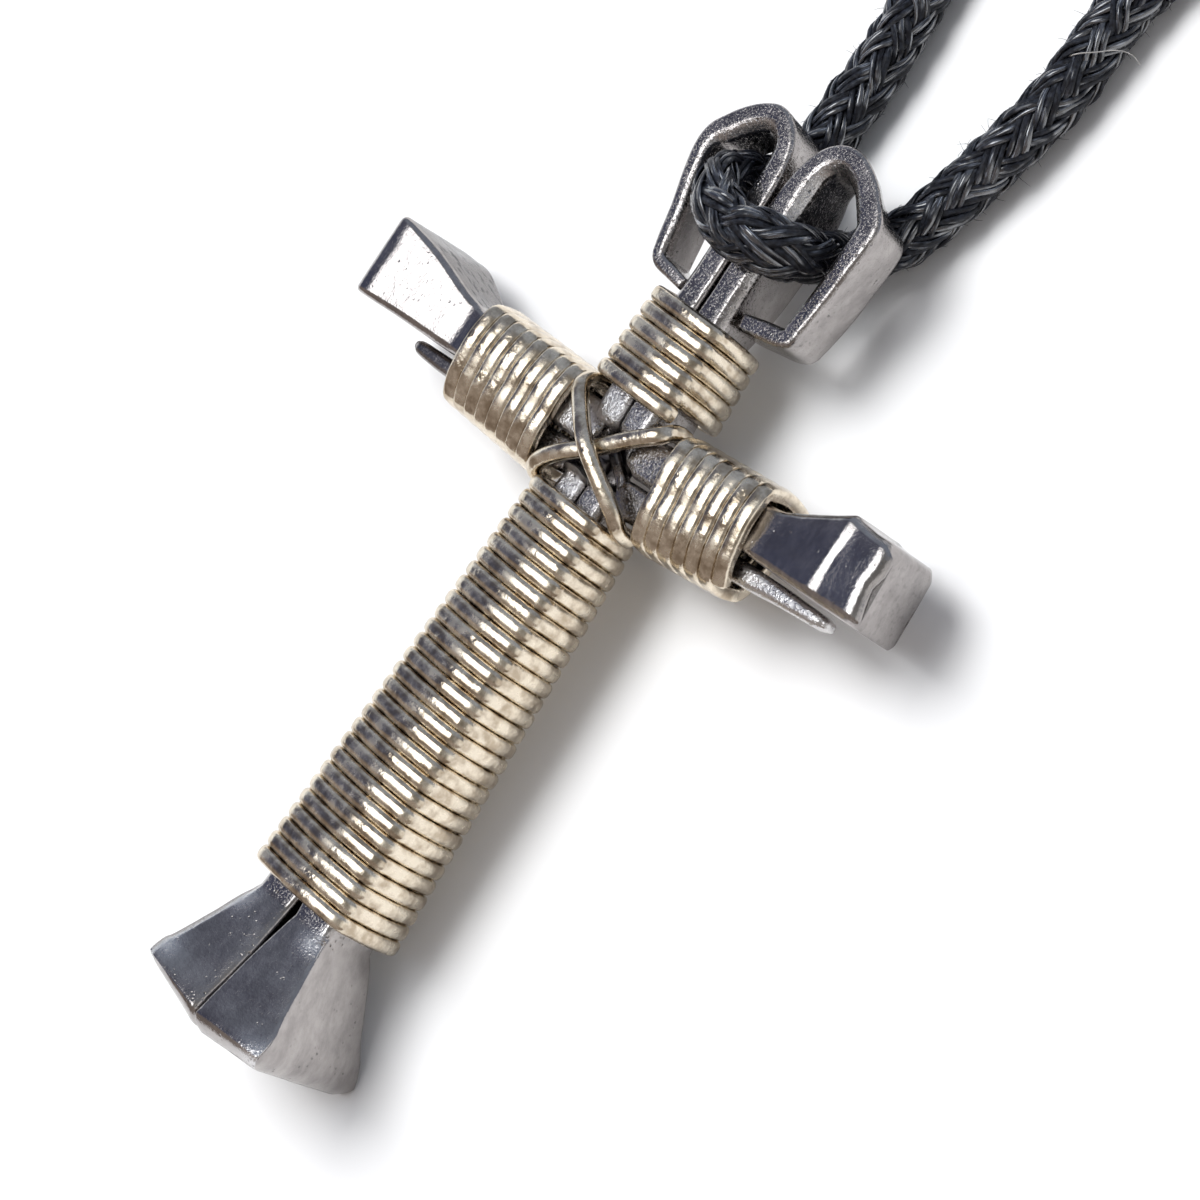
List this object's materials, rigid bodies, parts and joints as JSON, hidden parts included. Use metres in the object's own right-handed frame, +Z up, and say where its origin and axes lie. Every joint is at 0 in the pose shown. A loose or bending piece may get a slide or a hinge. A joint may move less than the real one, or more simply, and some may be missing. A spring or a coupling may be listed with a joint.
{
  "type": "horseshoe nail cross pendant",
  "caption": "Cross pendant made of horseshoe nails bound with thin wire, the tips curled into a heart, on a braided neck cord.",
  "frame": {"origin": "middle of the pendant's footprint where it lies on its back, on the surface that it lies on", "axes": "+Y from the foot towards the heart, along the shaft; +X along the crossbar to the viewer's right; +Z up out of the front"},
  "size_m": [0.1548, 0.2737, 0.0087],
  "materials": {
    "nail_steel": "bright worn steel with small pits",
    "wire": "glossy pale champagne plated wire",
    "cord": "waxed braided cotton",
    "sleeve": "satin"
  },
  "bodies": {
    "root": {"long_nail_left": "nail_steel", "long_nail_right": "nail_steel", "cross_nail_left": "nail_steel", "cross_nail_right": "nail_steel", "shaft_wrap": "wire", "top_wrap": "wire", "left_wrap": "wire", "right_wrap": "wire", "tie_over": "wire", "tie_under": "wire", "neck_cord": "cord", "cord_sleeve": "sleeve"}
  },
  "joints": []
}
